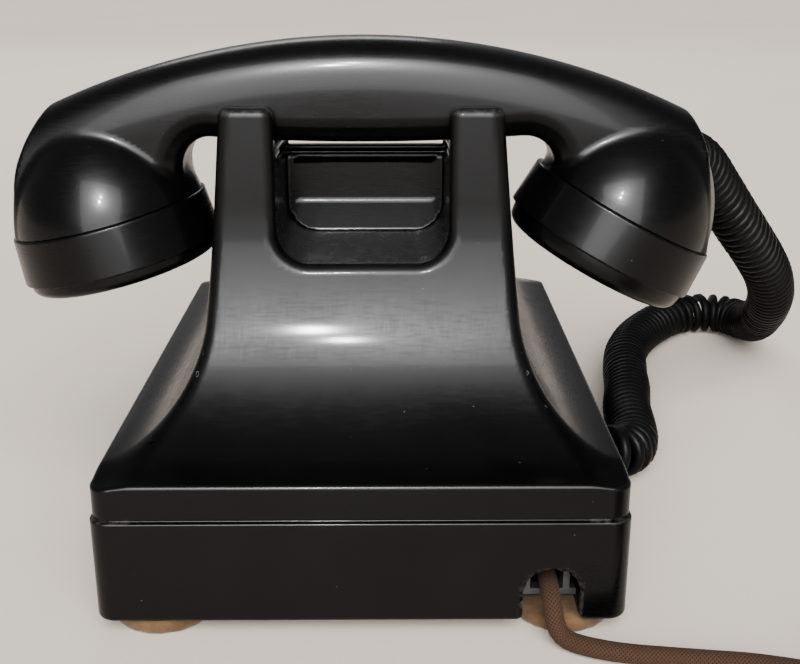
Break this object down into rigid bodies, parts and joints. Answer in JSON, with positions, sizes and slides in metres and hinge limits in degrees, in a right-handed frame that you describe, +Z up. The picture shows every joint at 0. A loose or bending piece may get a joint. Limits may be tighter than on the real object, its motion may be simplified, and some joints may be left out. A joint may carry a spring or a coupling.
{
  "type": "rotary dial desk telephone",
  "caption": "Black desk telephone with a flared housing, cradled handset, rotary dial, curly handset cord and coiled cloth line cord with plug.",
  "frame": {"origin": "centre of the telephone's footprint, cords left out, on the surface that its felt feet stand on", "axes": "+Z up; -Y towards the person who faces the dial; +X to that person's right, along the handset towards its receiver end"},
  "size_m": [0.3155, 0.4116, 0.168],
  "materials": {
    "black_plastic": "polished black thermoset",
    "wheel_black": "black enamel on steel",
    "dark_steel": "black lacquered steel",
    "felt": "tan felt, worn",
    "steel": "zinc plated",
    "dial_metal": "die-cast, satin",
    "brass": "brass and bronze, dull",
    "enamel": "white vitreous enamel with black figures",
    "chrome_trim": "nickel plated",
    "card": "cream card under a clear disc",
    "coil_wire": "wound coil in brown lacquered cloth",
    "tin_can": "tinned steel",
    "brown_plastic": "brown moulded plastic",
    "cord_rubber": "black neoprene, satin",
    "cord_cloth": "woven brown cotton"
  },
  "bodies": {
    "root": {"housing": "black_plastic", "base_plate": "dark_steel", "felt_feet": "felt", "housing_screws": "steel", "plunger_bushes": "black_plastic", "switch_bracket": "steel", "switch_pin": "steel", "switch_springs": "brass", "dial_case": "dial_metal", "dial_bracket": "steel", "number_plate": "enamel", "finger_stop": "chrome_trim", "pulse_springs": "brass", "ringer_frame": "steel", "ringer_coils": "coil_wire", "ringer_magnet": "dark_steel", "gong_left": "brass", "gong_right": "brass", "gong_screws": "steel", "clapper_pin": "steel", "induction_coil": "coil_wire", "condenser": "tin_can", "terminal_block": "brown_plastic", "terminal_screws": "brass", "line_cord_clamp": "steel", "handset_cord_gland": "cord_rubber", "handset_cord": "cord_rubber", "line_cord": "cord_cloth", "line_cord_coil": "cord_cloth", "line_plug": "brown_plastic", "line_plug_pins": "brass"},
    "handset": {"handset_handle": "black_plastic", "receiver_cap": "black_plastic", "transmitter_cap": "black_plastic", "receiver_capsule": "tin_can", "transmitter_capsule": "brass", "receiver_springs": "brass", "transmitter_springs": "brass", "handset_cord_boot": "cord_rubber"},
    "left_plunger": {"plunger_left": "black_plastic"},
    "right_plunger": {"plunger_right": "black_plastic"},
    "bail": {"switch_lever": "brass"},
    "wheel": {"finger_wheel": "wheel_black", "wheel_screw": "steel", "card_ring": "chrome_trim", "number_card": "card", "dial_shaft": "steel", "main_gear": "brass"},
    "governor_body": {"governor": "brass"},
    "clapper_body": {"clapper": "steel"}
  },
  "joints": [
    {"name": "handset_lift", "type": "slide", "parent": "root", "child": "handset", "axis": [0, 0, 1], "range_m": [0, 0.06]},
    {"name": "left_plunger_rise", "type": "slide", "parent": "root", "child": "left_plunger", "axis": [0, 0, 1], "range_m": [0, 0.005]},
    {"name": "right_plunger_rise", "type": "slide", "parent": "root", "child": "right_plunger", "axis": [0, 0, 1], "range_m": [0, 0.005]},
    {"name": "bail_turn", "type": "hinge", "parent": "root", "child": "bail", "pos_m": [0, 0.008, 0.086], "axis": [1, 0, 0], "range_deg": [0, 12.5]},
    {"name": "dial_turn", "type": "hinge", "parent": "root", "child": "wheel", "pos_m": [0, -0.0525, 0.092], "axis": [0, -0.6428, 0.766], "range_deg": [-312, 0], "stiffness_Nm_per_rad": 0.02, "springref_deg": 34.38},
    {"name": "governor_turn", "type": "hinge", "parent": "root", "child": "governor_body", "pos_m": [0.017, -0.05615, 0.07457], "axis": [0, -0.6428, 0.766], "range_deg": [0, 822.6]},
    {"name": "clapper_swing", "type": "hinge", "parent": "root", "child": "clapper_body", "pos_m": [0, 0.051, 0.032], "axis": [0, 0, 1], "range_deg": [-1.8, 1.8], "stiffness_Nm_per_rad": 0.002}
  ],
  "couplings": [
    {"joint": "left_plunger_rise", "follows": "handset_lift", "ratio": 0.08333},
    {"joint": "right_plunger_rise", "follows": "handset_lift", "ratio": 0.08333},
    {"joint": "bail_turn", "follows": "handset_lift", "rad_per_m": 3.607},
    {"joint": "governor_turn", "follows": "dial_turn", "ratio": -2.6333}
  ]
}
